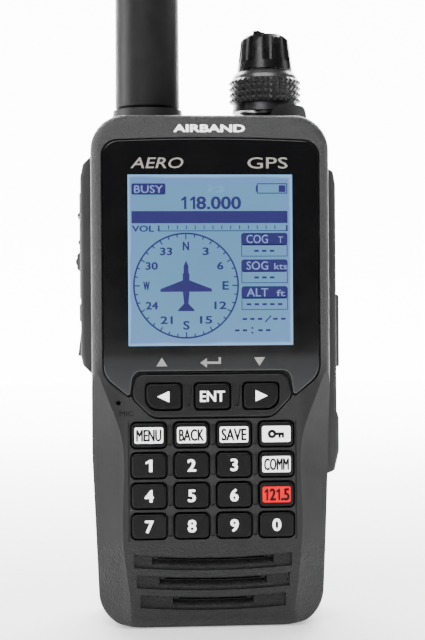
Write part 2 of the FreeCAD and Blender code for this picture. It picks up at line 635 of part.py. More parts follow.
def right_side_plate():
    z0, z1 = RIGHT_PLATE_Z
    x = RIGHT_PLATE_X
    profile = [(HALF_WIDTH - 1, z0), (x - 0.6, z0 + 1.4), (x + 0.55, z0 + 6.5), (x + 0.55, z0 + 15.0),
               (x, z0 + 17.0),
               (x, z1 - 5.0), (x - 0.6, z1 - 1.6), (HALF_WIDTH - 1, z1)]
    wire = Part.makePolygon([V(px, SIDE_Y0, pz) for px, pz in profile + profile[:1]])
    slab = Part.Face(wire).extrude(V(0, SIDE_Y1 - SIDE_Y0, 0))
    slab = fillet_at(slab, 0.9, lambda p: p.x > 31.5 and abs(p.y - SIDE_Y0) < 1e-6)
    slab = fillet_at(slab, 0.9, lambda p: p.x > 31.5 and abs(p.y - SIDE_Y1) < 1e-6)
    slots = [box(29, 40, COVER_Y[0] - 0.3, 6.6, low - 0.3, high + 0.3)
             for low, high in (HEADSET_COVER_Z, POWER_COVER_Z)]
    return slab.cut(slots + [whole_case()])


def socket_cover(z0, z1, x_out):
    """Flap with a round bead along its rear edge, on which it swings."""
    flap = box(RIGHT_PLATE_X - 1.95, x_out, COVER_Y[0], COVER_Y[1], z0, z1)
    edges = [e for e in flap.Edges if all(abs(v.X - x_out) < 1e-6 for v in e.Vertexes)]
    flap = flap.makeFillet(0.7, edges)
    bead = rod(0.75, (COVER_HINGE[0], COVER_HINGE[1], z0), (COVER_HINGE[0], COVER_HINGE[1], z1))
    web = box(RIGHT_PLATE_X - 1.5, RIGHT_PLATE_X - 0.7, COVER_Y[1] - 0.5, COVER_HINGE[1], z0, z1)
    return join(flap, bead, web)


def headset_socket():
    body = join(box(23.5, 28.4, SOCKET_Y - 3, SOCKET_Y + 3, HEADSET_Z - 4, HEADSET_Z + 4),
                rod(2.9, (28.4, SOCKET_Y, HEADSET_Z), (30.5, SOCKET_Y, HEADSET_Z)))
    return body.cut(rod(1.8, (25.0, SOCKET_Y, HEADSET_Z), (32, SOCKET_Y, HEADSET_Z)))


def power_socket():
    body = join(box(23.5, 28.4, SOCKET_Y - 2.9, SOCKET_Y + 2.6, POWER_Z - 4, POWER_Z + 4),
                rod(2.9, (28.4, SOCKET_Y, POWER_Z), (30.5, SOCKET_Y, POWER_Z)))
    body = body.cut(rod(2.1, (25.0, SOCKET_Y, POWER_Z), (32, SOCKET_Y, POWER_Z)))
    return join(body, rod(0.65, (24.6, SOCKET_Y, POWER_Z), (30.2, SOCKET_Y, POWER_Z)))


# ---- battery ----
BATTERY_GAP = 0.3
CELL_ROOM_Z = (18.0, 94.4)
LID_Y = 15.2


def battery_block():
    z0, z1 = BAY_Z[0] + BATTERY_GAP, BAY_Z[1] - BATTERY_GAP
    return rectangle(0, (z0 + z1) / 2, 2 * (BAY_HALF - BATTERY_GAP), z1 - z0, 2.7)


def cell_room(y0, y1):
    z0, z1 = CELL_ROOM_Z
    return plate(rectangle(0, (z0 + z1) / 2, 2 * BAY_HALF - 3.4, z1 - z0, 1.5), y0, y1)


def latch_relief():
    """What the battery leaves free for the latch: a notch below and a pocket behind its plate."""
    half = LATCH_HALF + 0.6
    notch = box(-half, half, 0, 20, 5, BATTERY_NOTCH_TOP)
    pocket = box(-half, half, LATCH_FACE_Y - 0.8, 20, 5, LATCH_TOP + 0.6)
    return notch.fuse(pocket)


def battery_case():
    tray = plate(battery_block(), BAY_FLOOR_Y + BATTERY_GAP, LID_Y)
    return tray.cut([cell_room(BAY_FLOOR_Y + 1.6, 16), latch_relief()])


def battery_cover():
    lid = plate(battery_block(), LID_Y, BACK_Y)
    lid = fillet_at(lid, 1.2, lambda p: abs(p.y - BACK_Y) < 1e-6)
    ribs = [plate(rectangle(0, 26.0 + 4.6 * i, 38, 1.8, 0.85), BACK_Y - 0.7, 20) for i in range(7)]
    label = plate(rectangle(0, 76.0, 36, 22, 2), BACK_Y - 0.3, 20)
    return lid.cut(ribs + [label, cell_room(15, 16), latch_relief()])


def battery_cells():
    return [box(x, x + 23.6, BAY_FLOOR_Y + 1.7, 15.5, 19, 93.5) for x in (-23.9, 0.3)]


def chassis_contacts():
    return [rod(0.85, (x, -1.0, 88), (x, BAY_FLOOR_Y + 0.25, 88)) for x in (-5, 0, 5)]


def battery_latch():
    """Plate behind the foot of the battery, hinged at its lower edge."""
    y, z = LATCH_PIVOT
    barrel = rod(2.0, (-LATCH_HALF, y, z), (LATCH_HALF, y, z))
    leaf = box(-LATCH_HALF, LATCH_HALF, LATCH_FACE_Y, LATCH_FACE_Y + 1.4, z, LATCH_TOP)
    leaf = fillet_at(leaf, 0.5, lambda p: p.y > LATCH_FACE_Y + 1 and p.z > 10)
    grips = [rod(0.3, (-6, LATCH_FACE_Y + 1.35, z), (6, LATCH_FACE_Y + 1.35, z)) for z in (11.4, 12.8, 14.2)]
    return join(barrel, leaf).cut(grips + [rod(0.8, (-10, y, z), (10, y, z))])


def latch_pin():
    y, z = LATCH_PIVOT
    return rod(0.75, (-12.5, y, z), (12.5, y, z))


def build():
    os.makedirs("parts", exist_ok=True)
    y, z = LATCH_PIVOT
    save("front_case", front_case())
    save("rear_chassis", rear_chassis().cut(rod(0.75, (-12.5, y, z), (12.5, y, z))))
    save("case_gasket", case_gasket())
    save("case_screws", *case_screws())
    save("display_window", display_window())
    save("lcd_panel", lcd_panel())
    save("lcd_holder", lcd_holder())
    save("nav_bezel", nav_bezel())
    for name, x, z in key_spots():
        save(name, keypad_key(x, z))
    for index, name in enumerate(NAV_NAMES):
        save(name, nav_key(index))
    save("keypad_mat", keypad_mat())
    save("main_board", main_board())
    save("rf_shield", rf_shield())
    save("position_aerial", position_aerial())
    save("speaker", speaker())
    save("microphone", microphone())
    save("aerial_jack", aerial_jack())
    save("aerial_plug", aerial_plug())
    save("aerial_core", aerial_core())
    save("aerial_sheath", aerial_sheath())
    save("control_body", control_body())
    save("control_nut", control_nut())
    save("dial_shaft", dial_shaft())
    save("dial_collar", dial_collar())
    save("dial_knob", dial_knob())
    save("volume_shaft", volume_shaft())
    save("volume_knob", volume_knob())
    save("left_side_plate", left_side_plate())
    save("ptt_button", ptt_button())
    save("monitor_button", monitor_button())
    save("lamp_button", lamp_button())
    save("side_switch_board", side_switch_board())
    save("right_side_plate", right_side_plate())
    save("headset_cover", socket_cover(HEADSET_COVER_Z[0], HEADSET_COVER_Z[1], RIGHT_PLATE_X + 0.1))
    save("power_cover", socket_cover(POWER_COVER_Z[0], POWER_COVER_Z[1], RIGHT_PLATE_X + 1.1))
    save("headset_socket", headset_socket())
    save("power_socket", power_socket())
    save("battery_case", battery_case())
    save("battery_cover", battery_cover())
    save("battery_cells", *battery_cells())
    save("chassis_contacts", *chassis_contacts())
    save("battery_latch", battery_latch())
    save("latch_pin", latch_pin())


build()
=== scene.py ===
"""Looks of the handheld aviation radio: finishes, printed legends, the lit display, studio and camera."""

import math

import bpy
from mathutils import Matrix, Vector


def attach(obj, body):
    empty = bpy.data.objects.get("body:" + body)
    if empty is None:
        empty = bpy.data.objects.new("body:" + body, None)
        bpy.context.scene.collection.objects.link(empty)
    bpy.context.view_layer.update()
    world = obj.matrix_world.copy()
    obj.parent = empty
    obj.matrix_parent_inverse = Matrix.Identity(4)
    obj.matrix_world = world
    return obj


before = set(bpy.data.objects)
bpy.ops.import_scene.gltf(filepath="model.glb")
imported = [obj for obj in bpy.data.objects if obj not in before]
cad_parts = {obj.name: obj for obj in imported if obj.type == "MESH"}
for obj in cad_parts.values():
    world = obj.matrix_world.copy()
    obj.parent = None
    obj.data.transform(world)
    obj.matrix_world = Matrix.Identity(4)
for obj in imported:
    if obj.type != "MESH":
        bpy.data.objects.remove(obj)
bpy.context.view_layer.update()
MM = 0.001

FRONT_Y = -17.5
WINDOW_Y = FRONT_Y + 0.15
KEY_FACE_Y = FRONT_Y - 0.75
NAV_FACE_Y = FRONT_Y - 0.95
KEY_PITCH_X, KEY_PITCH_Z = 10.85, 7.72
KEY_TOP_ROW_Z = 49.3
NAV_PITCH, NAV_Z = 12.4, 59.1
FILM = 0.03  # thickness of a printed layer
GLOW_X, GLOW_Z, GLOW_WIDTH, GLOW_HEIGHT = -0.75, 93.8, 42.1, 43.6


# ---- finishes ----
def finish_base(name, colour, roughness, coat=0.0, metallic=0.0, shine=0.5):
    """A named finish with its shader, and Object coordinates to drive its grain."""
    material = bpy.data.materials.new(name)
    material.use_nodes = True
    nodes = material.node_tree.nodes
    shader = nodes["Principled BSDF"]
    shader.inputs["Base Color"].default_value = (*colour, 1)
    shader.inputs["Roughness"].default_value = roughness
    shader.inputs["Metallic"].default_value = metallic
    shader.inputs["Coat Weight"].default_value = coat
    shader.inputs["Coat Roughness"].default_value = 0.05
    shader.inputs["Specular IOR Level"].default_value = shine
    place = nodes.new("ShaderNodeTexCoord")
    return material, nodes, material.node_tree.links, shader, place.outputs["Object"]


def grain_height(nodes, links, place, per_metre, detail=3.0):
    noise = nodes.new("ShaderNodeTexNoise")
    noise.inputs["Scale"].default_value = per_metre
    noise.inputs["Detail"].default_value = detail
    links.new(place, noise.inputs["Vector"])
    return noise.outputs["Fac"]


def emboss(nodes, links, shader, height, depth_mm, strength=1.0):
    bump = nodes.new("ShaderNodeBump")
    bump.inputs["Distance"].default_value = depth_mm * MM
    bump.inputs["Strength"].default_value = strength
    links.new(height, bump.inputs["Height"])
    links.new(bump.outputs["Normal"], shader.inputs["Normal"])


def spread(nodes, links, value, low, high, from_low=0.3, from_high=0.7):
    """Maps a 0-1 value to a range."""
    remap = nodes.new("ShaderNodeMapRange")
    remap.inputs["From Min"].default_value = from_low
    remap.inputs["From Max"].default_value = from_high
    remap.inputs["To Min"].default_value = low
    remap.inputs["To Max"].default_value = high
    links.new(value, remap.inputs["Value"])
    return remap.outputs["Result"]


def fade(nodes, links, value, start, end):
    """0 at start, 1 at end, held outside them."""
    remap = nodes.new("ShaderNodeMapRange")
    remap.inputs["From Min"].default_value = start
    remap.inputs["From Max"].default_value = end
    links.new(value, remap.inputs["Value"])
    return remap.outputs["Result"]


def sum_of(nodes, links, first, factor, second):
    total = nodes.new("ShaderNodeMath")
    total.operation = "MULTIPLY_ADD"
    total.inputs[1].default_value = factor
    links.new(first, total.inputs[0])
    links.new(second, total.inputs[2])
    return total.outputs[0]


def product_of(nodes, links, *factors):
    """The product of several 0-1 masks."""
    total = factors[0]
    for factor in factors[1:]:
        step = nodes.new("ShaderNodeMath")
        step.operation = "MULTIPLY"
        links.new(total, step.inputs[0])
        links.new(factor, step.inputs[1])
        total = step.outputs[0]
    return total


def tint(nodes, links, shader, value, dark, light):
    ramp = nodes.new("ShaderNodeValToRGB")
    ramp.color_ramp.elements[0].position = 0.35
    ramp.color_ramp.elements[0].color = (*dark, 1)
    ramp.color_ramp.elements[1].position = 0.65
    ramp.color_ramp.elements[1].color = (*light, 1)
    links.new(value, ramp.inputs["Fac"])
    links.new(ramp.outputs["Color"], shader.inputs["Base Color"])


def moulded_plastic(name, dark, light, roughness, grain_per_metre, depth_mm, coat=0.0, shine=0.3):
    """Moulded plastic: fine grain, slow colour drift and patchy sheen."""
    material, nodes, links, shader, place = finish_base(name, light, roughness, coat, shine=shine)
    tint(nodes, links, shader, grain_height(nodes, links, place, 90, 4), dark, light)
    patch = grain_height(nodes, links, place, 260, 2)
    links.new(spread(nodes, links, patch, roughness - 0.05, roughness + 0.07), shader.inputs["Roughness"])
    emboss(nodes, links, shader, grain_height(nodes, links, place, grain_per_metre, 2), depth_mm)
    return material


def turned_metal(name, colour, roughness):
    """Plated or turned metal with fine lines round it."""
    material, nodes, links, shader, place = finish_base(name, colour, roughness, metallic=1.0)
    stretch = nodes.new("ShaderNodeMapping")
    stretch.inputs["Scale"].default_value = (1, 1, 30)
    links.new(place, stretch.inputs["Vector"])
    lines = grain_height(nodes, links, stretch.outputs["Vector"], 120, 3)
    links.new(spread(nodes, links, lines, roughness - 0.06, roughness + 0.1), shader.inputs["Roughness"])
    emboss(nodes, links, shader, lines, 0.02)
    return material


def case_finish():
    """Case plastic: coarse spark-eroded texture round the display and the speaker, smoother between; painted
    shade darkens the speaker recesses and the lower cheeks.
    """
    material, nodes, links, shader, place = finish_base("case_plastic_finish", (0.02, 0.02, 0.02), 0.46,
                                                        shine=0.35)
    split = nodes.new("ShaderNodeSeparateXYZ")
    links.new(place, split.inputs["Vector"])
    upper = product_of(nodes, links, fade(nodes, links, split.outputs["Z"], 0.062, 0.070),
                       fade(nodes, links, split.outputs["Z"], 0.1335, 0.1315),
                       fade(nodes, links, split.outputs["Y"], -0.0100, -0.0140))
    lower = fade(nodes, links, split.outputs["Z"], 0.0235, 0.0205)
    drift = grain_height(nodes, links, place, 90, 4)
    wide = nodes.new("ShaderNodeMath")
    wide.operation = "ABSOLUTE"
    links.new(split.outputs["X"], wide.inputs[0])
    # painted shade: the case colour is darkened inside the speaker recesses
    recess_painted_shade = product_of(nodes, links, lower, fade(nodes, links, wide.outputs[0], 0.0215, 0.0208),
                        fade(nodes, links, split.outputs["Y"], -0.0173, -0.0167),
                        fade(nodes, links, split.outputs["Y"], -0.0120, -0.0135))
    # painted shade: the angled lower cheeks are darkened as if turned away from the light
    cheek_painted_shade = product_of(nodes, links, fade(nodes, links, wide.outputs[0], 0.0220, 0.0240),
                       fade(nodes, links, split.outputs["Z"], 0.068, 0.058),
                       fade(nodes, links, split.outputs["Y"], -0.0080, -0.0110))
    level = nodes.new("ShaderNodeMath")
    level.operation = "MULTIPLY_ADD"
    level.inputs[1].default_value = 0.6
    level.inputs[2].default_value = 0.35
    links.new(upper, level.inputs[0])
    shade = sum_of(nodes, links, drift, 0.08, sum_of(nodes, links, recess_painted_shade, -0.33, level.outputs[0]))
    shade = sum_of(nodes, links, cheek_painted_shade, -0.26, shade)
    ramp = nodes.new("ShaderNodeValToRGB")
    stops = ramp.color_ramp.elements
    stops[0].position, stops[0].color = 0.0, (0.0035, 0.0035, 0.0036, 1)
    stops[1].position, stops[1].color = 1.0, (0.034, 0.0342, 0.0345, 1)
    plain = stops.new(0.39)
    plain.color = (0.0135, 0.0137, 0.0140, 1)
    links.new(shade, ramp.inputs["Fac"])
    links.new(ramp.outputs["Color"], shader.inputs["Base Color"])
    patch = grain_height(nodes, links, place, 260, 2)
    links.new(spread(nodes, links, patch, 0.42, 0.53), shader.inputs["Roughness"])
    coarse = grain_height(nodes, links, place, 1500, 1)
    fine = sum_of(nodes, links, coarse, 1.0, grain_height(nodes, links, place, 2600, 2))
    bump = nodes.new("ShaderNodeBump")
    bump.inputs["Distance"].default_value = 0.24 * MM
    textured = sum_of(nodes, links, lower, 0.75, upper)
    floor = nodes.new("ShaderNodeMath")
    floor.operation = "MAXIMUM"
    floor.inputs[1].default_value = 0.10
    links.new(textured, floor.inputs[0])
    links.new(floor.outputs[0], bump.inputs["Strength"])
    links.new(fine, bump.inputs["Height"])
    links.new(bump.outputs["Normal"], shader.inputs["Normal"])
    return material


CASE = case_finish()
RUBBER = moulded_plastic("aerial_rubber_finish", (0.005, 0.005, 0.0052), (0.008, 0.008, 0.0082), 0.44,
                         3200, 0.03)
KEY_RUBBER = moulded_plastic("key_rubber_finish", (0.002, 0.002, 0.0022), (0.004, 0.004, 0.0042), 0.36,
                             2600, 0.012, shine=0.18)
SIDE_RUBBER = moulded_plastic("side_rubber_finish", (0.060, 0.060, 0.0602), (0.074, 0.074, 0.0742), 0.5,
                              2400, 0.03)
SIDE_PLATE = moulded_plastic("side_plate_finish", (0.034, 0.034, 0.0342), (0.042, 0.042, 0.0422), 0.5,
                             2200, 0.05)
INNER = moulded_plastic("inner_plastic_finish", (0.02, 0.02, 0.02), (0.03, 0.03, 0.032), 0.5, 1500, 0.03)
KNOB = moulded_plastic("knob_plastic_finish", (0.004, 0.004, 0.0042), (0.006, 0.006, 0.0062), 0.24, 2500,
                       0.01, shine=0.6)
DIAL = moulded_plastic("dial_rubber_finish", (0.026, 0.026, 0.0262), (0.034, 0.034, 0.0342), 0.25, 3000,
                       0.01, shine=0.7)
BEZEL = moulded_plastic("bezel_plastic_finish", (0.004, 0.004, 0.0042), (0.006, 0.006, 0.0062), 0.34, 2600,
                        0.01)
BOARD = moulded_plastic("circuit_board_finish", (0.01, 0.09, 0.04), (0.015, 0.13, 0.06), 0.35, 700, 0.02, 0.3)
CERAMIC = moulded_plastic("ceramic_finish", (0.55, 0.50, 0.42), (0.62, 0.57, 0.48), 0.6, 900, 0.02)
CELL = moulded_plastic("cell_wrap_finish", (0.03, 0.10, 0.28), (0.04, 0.13, 0.34), 0.3, 500, 0.02, 0.4)
STEEL = turned_metal("steel_finish", (0.58, 0.58, 0.59), 0.32)
BRASS = turned_metal("brass_plating_finish", (0.72, 0.53, 0.24), 0.28)
COLLAR = turned_metal("collar_metal_finish", (0.055, 0.055, 0.058), 0.34)


def window_finish():
    """Glossy black window: almost no grain, a slight ripple and faint handling marks; a painted reflection
    greys its lower part.
    """
    material, nodes, links, shader, place = finish_base("window_gloss_finish", (0.004, 0.004, 0.0045),
                                                        0.12, 0.2)
    split = nodes.new("ShaderNodeSeparateXYZ")
    links.new(place, split.inputs["Vector"])
    # painted reflection: the glass below the display is tinted dark grey, as if reflecting the floor
    foot_painted_reflection = fade(nodes, links, split.outputs["Z"], 0.0725, 0.0660)
    tint(nodes, links, shader, foot_painted_reflection, (0.004, 0.004, 0.0045), (0.015, 0.016, 0.0175))
    marks = grain_height(nodes, links, place, 130, 5)
    links.new(spread(nodes, links, marks, 0.09, 0.16), shader.inputs["Roughness"])
    emboss(nodes, links, shader, grain_height(nodes, links, place, 45, 1), 0.01, 0.4)
    return material


def ink_finish(name, colour, roughness=0.5, glow=0.0):
    """Printed ink: even colour with a slightly uneven film; glow adds emission, the backlight through the
    display inks and a painted glow on the white and red inks.
    """
    material, nodes, links, shader, place = finish_base(name, colour, roughness)
    shade = tuple(c * 0.88 for c in colour)
    film = grain_height(nodes, links, place, 1500, 3)
    tint(nodes, links, shader, film, shade, colour)
    emboss(nodes, links, shader, film, 0.004)
    shader.inputs["Specular IOR Level"].default_value = 0.25
    if glow:
        shader.inputs["Emission Color"].default_value = (*colour, 1)
        shader.inputs["Emission Strength"].default_value = glow
    return material


def display_glow_finish():
    """Backlit display: pale blue in the middle, brighter and more violet towards its edges."""
    material, nodes, links, shader, place = finish_base("display_glow_finish", (0.02, 0.03, 0.04), 0.2, 0.2)
    reach_x, reach_z = 0.0215, 0.0222
    centred = nodes.new("ShaderNodeMapping")
    centred.inputs["Location"].default_value = (0.0002 / reach_x, 0, -GLOW_Z * MM / reach_z)
    centred.inputs["Scale"].default_value = (1 / reach_x, 0, 1 / reach_z)
    links.new(place, centred.inputs["Vector"])
    split = nodes.new("ShaderNodeSeparateXYZ")
    links.new(centred.outputs["Vector"], split.inputs["Vector"])
    edges = []
    for axis in ("X", "Z"):
        away = nodes.new("ShaderNodeMath")
        away.operation = "ABSOLUTE"
        links.new(split.outputs[axis], away.inputs[0])
        edges.append(away.outputs[0])
    far = nodes.new("ShaderNodeMath")
    far.operation = "MAXIMUM"
    links.new(edges[0], far.inputs[0])
    links.new(edges[1], far.inputs[1])
    cloud = grain_height(nodes, links, place, 70, 2)
    mixed = nodes.new("ShaderNodeMath")
    mixed.operation = "MULTIPLY_ADD"
    mixed.inputs[1].default_value = 0.07
    links.new(cloud, mixed.inputs[0])
    links.new(far.outputs[0], mixed.inputs[2])
    ramp = nodes.new("ShaderNodeValToRGB")
    stops = ramp.color_ramp.elements
    stops[0].position, stops[0].color = 0.0, (0.118, 0.315, 0.560, 1)
    stops[1].position, stops[1].color = 1.0, (0.30, 0.60, 1.0, 1)
    middle = stops.new(0.84)
    middle.color = (0.128, 0.350, 0.600, 1)
    violet = stops.new(0.975)
    violet.color = (0.150, 0.310, 0.680, 1)
    links.new(mixed.outputs[0], ramp.inputs["Fac"])
    links.new(ramp.outputs["Color"], shader.inputs["Emission Color"])
    shader.inputs["Emission Strength"].default_value = 1.0
    return material


WINDOW = window_finish()
DISPLAY_GLOW = display_glow_finish()
DISPLAY_INK = ink_finish("display_ink_finish", (0.009, 0.008, 0.072), 0.6, 0.7)
DISPLAY_PALE = ink_finish("display_pale_finish", (0.12, 0.18, 0.38), 0.6, 0.35)
FAINT_INK = ink_finish("display_faint_finish", (0.07, 0.16, 0.28), 0.3, 0.9)
# the white ink glows: painted glow that lifts the print as if brightly lit
WHITE_INK_PAINTED_GLOW = ink_finish("white_ink_painted_glow_finish", (0.92, 0.92, 0.92), 0.5, 1.4)
GREY_INK = ink_finish("grey_ink_finish", (0.30, 0.30, 0.29))
WARM_INK = ink_finish("warm_ink_finish", (0.30, 0.285, 0.25))
BLACK_INK = ink_finish("black_ink_finish", (0.002, 0.002, 0.0022), 0.7)
# the red ink glows a little: painted glow that lifts the print as if lit
RED_INK_PAINTED_GLOW = ink_finish("red_ink_painted_glow_finish", (0.75, 0.0, 0.006), 0.6, 0.3)

FINISH_OF_NODE = {
    "display_window": WINDOW, "lcd_panel": WINDOW, "nav_bezel": BEZEL, "aerial_sheath": RUBBER,
    "ptt_button": SIDE_RUBBER, "monitor_button": SIDE_RUBBER, "lamp_button": SIDE_RUBBER,
    "left_side_plate": SIDE_PLATE, "right_side_plate": SIDE_PLATE,
    "headset_cover": SIDE_PLATE, "power_cover": SIDE_PLATE, "keypad_mat": KEY_RUBBER,
    "case_gasket": KEY_RUBBER,
    "lcd_holder": INNER, "control_body": INNER, "headset_socket": INNER, "power_socket": INNER,
    "aerial_core": INNER, "dial_knob": DIAL, "volume_knob": KNOB, "dial_collar": COLLAR,
    "main_board": BOARD, "side_switch_board": BOARD, "position_aerial": CERAMIC, "battery_cells": CELL,
    "case_screws": STEEL, "rf_shield": STEEL, "speaker": STEEL, "microphone": BEZEL, "dial_shaft": STEEL,
    "volume_shaft": STEEL, "latch_pin": STEEL, "aerial_jack": BRASS, "aerial_plug": BRASS,
    "chassis_contacts": BRASS, "control_nut": COLLAR,
}
for node_name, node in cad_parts.items():
    finish = FINISH_OF_NODE.get(node_name, KEY_RUBBER if node_name.startswith("key_") else CASE)
    node.data.materials.clear()
    node.data.materials.append(finish)


# ---- modelling helpers ----
def deselect():
    bpy.ops.object.select_all(action="DESELECT")


def settle(piece, name, finish, body):
    """Puts the piece's place into its mesh, names it, paints it and hangs it on its body."""
    deselect()
    piece.select_set(True)
    bpy.context.view_layer.objects.active = piece
    bpy.ops.object.transform_apply(location=True, rotation=True, scale=True)
    piece.name = name
    piece.data.name = name
    piece.data.materials.clear()
    piece.data.materials.append(finish)
    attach(piece, body)


def join_pieces(pieces):
    deselect()
    for piece in pieces:
        piece.select_set(True)
    bpy.context.view_layer.objects.active = pieces[0]
    bpy.ops.object.transform_apply(location=True, rotation=True, scale=True)
    if len(pieces) > 1:
        bpy.ops.object.join()
    return bpy.context.view_layer.objects.active


def embolden(piece, amount):
    """Thickens flat lettering by laying shifted copies of it over itself."""
    copies = [piece]
    steps = [(-1, 0), (1, 0), (0, -0.6), (0, 0.6), (-0.7, -0.45), (0.7, 0.45), (-0.7, 0.45), (0.7, -0.45)]
    for layer, (across, up) in enumerate(steps):
        deselect()
        piece.select_set(True)
        bpy.context.view_layer.objects.active = piece
        bpy.ops.object.duplicate()
        shift = (across * amount / 2 * MM, -0.0025 * (layer + 1) * MM, up * amount / 2 * MM)
        bpy.ops.transform.translate(value=shift)
        copies.append(bpy.context.view_layer.objects.active)
    return join_pieces(copies)


def words(text, x, z, height, y, width=None, weight=0.0, slant=0.0, thick=FILM, bold=0.0):
    """Raised lettering that faces the front; height is the capital height, all in millimetres.

    weight swells the outlines, bold lays shifted copies over each other, slant leans the letters.
    """
    deselect()
    bpy.ops.object.text_add(location=(0, 0, 0))
    piece = bpy.context.object
    piece.data.body = text
    piece.data.size = height / 0.69 * MM
    piece.data.offset = weight * MM
    piece.data.shear = slant
    piece.data.extrude = thick / 2 * MM
    piece.data.resolution_u = 3
    bpy.ops.object.convert(target="MESH")
    piece = bpy.context.object
    xs = [v.co.x for v in piece.data.vertices]
    stretch = 1.0 if width is None else width * MM / (max(xs) - min(xs))
    middle = (max(xs) + min(xs)) / 2
    piece.scale = (stretch, 1, 1)
    piece.rotation_euler = (math.pi / 2, 0, 0)
    piece.location = ((x - middle / MM * stretch) * MM, (y - thick / 2) * MM, (z - height / 2) * MM)
    deselect()
    piece.select_set(True)
    bpy.context.view_layer.objects.active = piece
    bpy.ops.object.transform_apply(location=True, rotation=True, scale=True)
    return embolden(piece, bold) if bold else piece


def figure_one(x, z, height, width, stem, y):
    """The figure 1 with a flag; width is from the tip of the flag to the right of the stem."""
    left, right, top = x - width / 2, x + width / 2, z + height / 2
    return cut_out([
        (right - stem, z - height / 2), (right, z - height / 2), (right, top), (right - stem * 0.8, top),
        (left, top - height * 0.2), (left, top - height * 0.36), (right - stem, top - height * 0.26),
    ], y)


def bar(x, z, width, height, y, turn=0.0, thick=FILM):
    """A thin printed bar, its front face at y - thick."""
    deselect()
    bpy.ops.mesh.primitive_cube_add(size=1, location=(x * MM, (y - thick / 2) * MM, z * MM),
                                    rotation=(0, turn, 0))
    piece = bpy.context.object
    piece.scale = (width * MM, thick * MM, height * MM)
    bpy.ops.object.transform_apply(location=True, rotation=True, scale=True)
    return piece


def round_corners(piece, radius, segments=4):
    """Bevels the four edges of a thin bar that run from front to back."""
    deselect()
    piece.select_set(True)
    bpy.context.view_layer.objects.active = piece
    bpy.ops.object.mode_set(mode="EDIT")
    bpy.ops.mesh.select_all(action="DESELECT")
    bpy.ops.object.mode_set(mode="OBJECT")
    for edge in piece.data.edges:
        ends = [piece.data.vertices[i].co for i in edge.vertices]
        edge.select = abs(ends[0].x - ends[1].x) < 1e-7 and abs(ends[0].z - ends[1].z) < 1e-7
    bpy.ops.object.mode_set(mode="EDIT")
    bpy.ops.mesh.select_mode(type="EDGE")
    bpy.ops.mesh.bevel(offset=radius * MM, segments=segments, affect="EDGES")
    bpy.ops.object.mode_set(mode="OBJECT")
    return piece


def plaque(x, z, width, height, y, radius):
    return round_corners(bar(x, z, width, height, y), radius)


def hoop(x, z, radius, line, y, sides=96):
    deselect()
    bpy.ops.mesh.primitive_torus_add(location=(x * MM, (y - 0.01) * MM, z * MM), rotation=(math.pi / 2, 0, 0),
                                     major_radius=radius * MM, minor_radius=line / 2 * MM,
                                     major_segments=sides, minor_segments=4)
    piece = bpy.context.object
    piece.scale = (1, 1, 0.1)
    bpy.ops.object.transform_apply(location=True, rotation=True, scale=True)
    return piece


def cut_out(points, y, thick=FILM):
    """A flat shape with straight sides, from points in millimetres, with a little thickness."""
    curve = bpy.data.curves.new("cut_out", "CURVE")
    curve.dimensions = "2D"
    curve.fill_mode = "BOTH"
    curve.extrude = thick / 2 * MM
    outline = curve.splines.new("POLY")
    outline.points.add(len(points) - 1)
    for corner, (x, z) in zip(outline.points, points):
        corner.co = (x * MM, z * MM, 0, 1)
    outline.use_cyclic_u = True
    piece = bpy.data.objects.new("cut_out", curve)
    bpy.context.scene.collection.objects.link(piece)
    deselect()
    piece.select_set(True)
    bpy.context.view_layer.objects.active = piece
    bpy.ops.object.convert(target="MESH")
    piece = bpy.context.object
    piece.rotation_euler = (math.pi / 2, 0, 0)
    piece.location = (0, (y - thick / 2) * MM, 0)
    bpy.ops.object.transform_apply(location=True, rotation=True, scale=True)
    return piece


# ---- display ----
GLASS_Y = WINDOW_Y
INK_Y = GLASS_Y - FILM
HEADER_Y = INK_Y - 0.02
COMPASS_X, COMPASS_Z, COMPASS_RADIUS, LABEL_RADIUS = -7.06, 87.3, 13.3, 10.1
DISPLAY_SHIFT = 0.6


def frame_lines(x0, x1, z0, z1, line, y):
    """Four thin bars round a rectangle."""
    return [
        bar((x0 + x1) / 2, z0, x1 - x0, line, y), bar((x0 + x1) / 2, z1, x1 - x0, line, y),
        bar(x0, (z0 + z1) / 2, line, z1 - z0 + line, y), bar(x1, (z0 + z1) / 2, line, z1 - z0 + line, y),
    ]


def aeroplane():
    """Right half from nose to tail, then the same points mirrored."""
    half = [(0, 6.4), (0.6, 5.0), (0.62, 3.3), (0.85, 2.9), (0.85, 1.35), (6.55, -0.85),
            (6.55, -1.55), (0.85, -1.55), (0.55, -4.6), (2.1, -6.2), (2.1, -6.5), (0, -6.5)]
    points = [(COMPASS_X + x, COMPASS_Z + z) for x, z in half]
    points += [(COMPASS_X - x, COMPASS_Z + z) for x, z in reversed(half[1:-1])]
    return cut_out(points, INK_Y)


def compass():
    pieces = [hoop(COMPASS_X, COMPASS_Z, COMPASS_RADIUS, 0.42, INK_Y), aeroplane()]
    for step in range(36):
        angle = math.radians(step * 10)
        length = 1.5 if step % 9 == 0 else 1.15 if step % 3 == 0 else 0.85
        reach = COMPASS_RADIUS - length / 2
        x, z = COMPASS_X + reach * math.sin(angle), COMPASS_Z + reach * math.cos(angle)
        pieces.append(bar(x, z, 0.3, length, INK_Y, angle))
    for step, label in enumerate(["N", "3", "6", "E", "12", "15", "S", "21", "24", "W", "30", "33"]):
        angle = math.radians(step * 30)
        height = 2.1 if label.isalpha() else 1.85
        width = {1: 1.45, 2: 2.95}[len(label)]
        x, z = COMPASS_X + LABEL_RADIUS * math.sin(angle), COMPASS_Z + LABEL_RADIUS * math.cos(angle)
        pieces.append(words(label, x, z, height, INK_Y, width, bold=0.2))
    return pieces


def dashes(centres, z, width=1.15):
    return [bar(x, z, width, 0.5, INK_Y) for x in centres]


